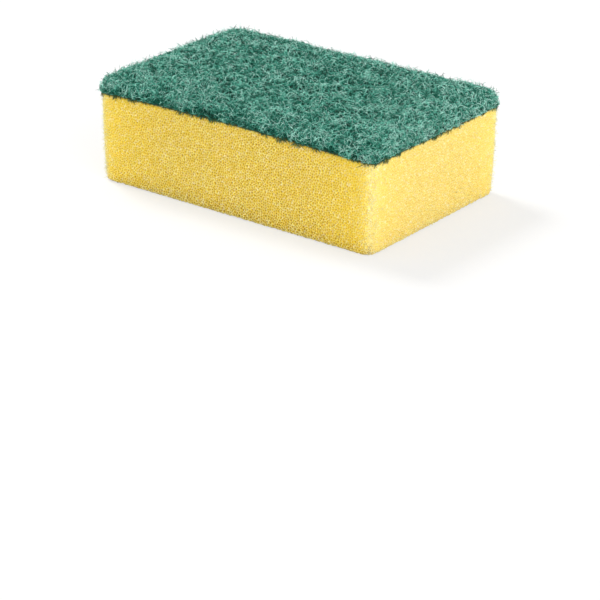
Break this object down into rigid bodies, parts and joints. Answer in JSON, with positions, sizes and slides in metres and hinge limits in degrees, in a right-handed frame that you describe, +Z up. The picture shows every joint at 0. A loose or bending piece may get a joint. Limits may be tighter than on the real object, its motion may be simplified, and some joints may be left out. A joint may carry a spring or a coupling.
{
  "type": "cleaning sponge",
  "caption": "Rectangular scourer sponge: an open-cell foam block with a matted-fibre scouring pad glued over its whole top face.",
  "frame": {"origin": "middle of the foam's foot, on the surface that the sponge stands on", "axes": "+X along the length, +Y along the width, +Z up through the foam to the scouring pad"},
  "size_m": [0.08, 0.052, 0.0265],
  "materials": {
    "foam": "open-cell polyurethane foam, dyed yellow",
    "glue": "thin film of set adhesive",
    "pad": "non-woven web of crimped polyamide fibres, dyed green"
  },
  "bodies": {
    "root": {"foam_block": "foam", "glue_film": "glue", "scouring_pad": "pad"}
  },
  "joints": []
}
